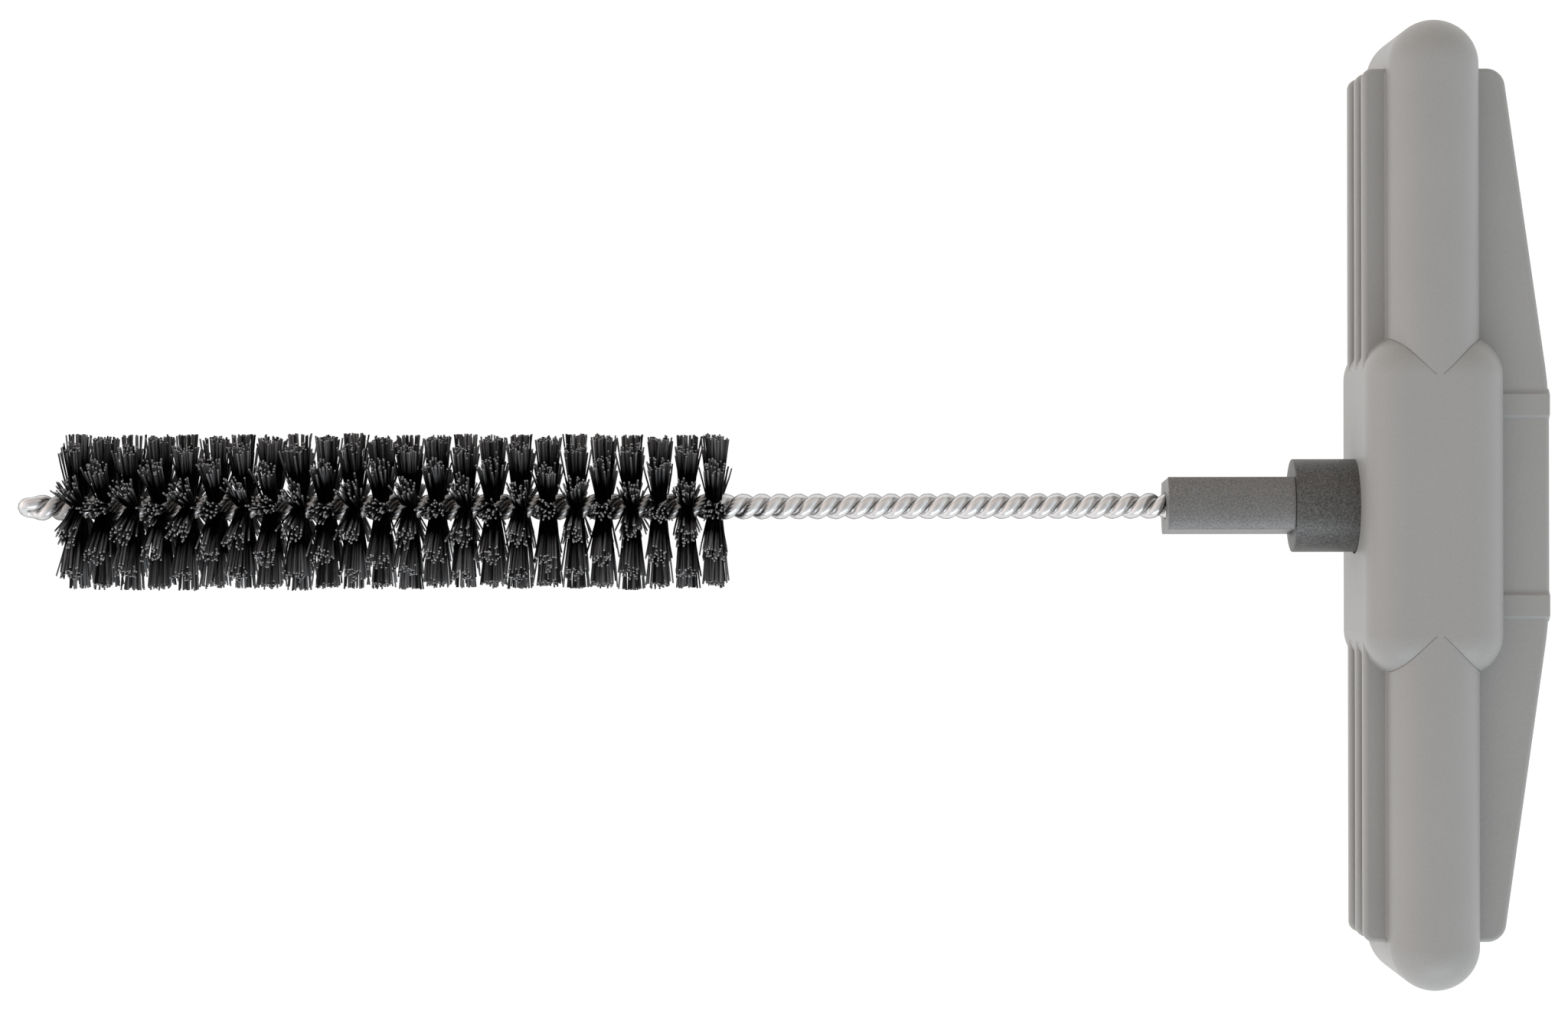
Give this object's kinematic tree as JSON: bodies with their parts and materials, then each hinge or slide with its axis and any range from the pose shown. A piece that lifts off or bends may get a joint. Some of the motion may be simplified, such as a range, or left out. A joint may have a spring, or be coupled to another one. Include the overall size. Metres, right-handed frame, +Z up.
{
  "type": "borehole cleaning brush",
  "caption": "Twisted wire brush with a round row of black bristle tufts, a flat-sided steel shank and a finned grey T handle, for sweeping dust out of drilled holes.",
  "frame": {"origin": "middle of the overall length and width, on the surface that the part lies on", "axes": "+X along the stem from the brush to the handle, +Y along the handle's grip bar, +Z up from the flat back of the handle's hub"},
  "size_m": [0.1938, 0.1216, 0.0284],
  "materials": {
    "grey_plastic": "moulded, satin with a fine grain",
    "socket_steel": "dark dull coating",
    "shank_steel": "dark dull coating",
    "bright_wire": "bright drawn wire",
    "black_bristle": "black nylon with paler cut ends"
  },
  "bodies": {
    "root": {"t_handle": "grey_plastic", "handle_socket": "socket_steel", "brush_shank": "shank_steel", "twisted_wire": "bright_wire", "bristle_ring_01": "black_bristle", "bristle_ring_02": "black_bristle", "bristle_ring_03": "black_bristle", "bristle_ring_04": "black_bristle", "bristle_ring_05": "black_bristle", "bristle_ring_06": "black_bristle", "bristle_ring_07": "black_bristle", "bristle_ring_08": "black_bristle", "bristle_ring_09": "black_bristle", "bristle_ring_10": "black_bristle", "bristle_ring_11": "black_bristle", "bristle_ring_12": "black_bristle", "bristle_ring_13": "black_bristle", "bristle_ring_14": "black_bristle", "bristle_ring_15": "black_bristle", "bristle_ring_16": "black_bristle", "bristle_ring_17": "black_bristle", "bristle_ring_18": "black_bristle", "bristle_ring_19": "black_bristle", "bristle_ring_20": "black_bristle", "bristle_ring_21": "black_bristle", "bristle_ring_22": "black_bristle", "bristle_ring_23": "black_bristle", "bristle_ring_24": "black_bristle"}
  },
  "joints": []
}
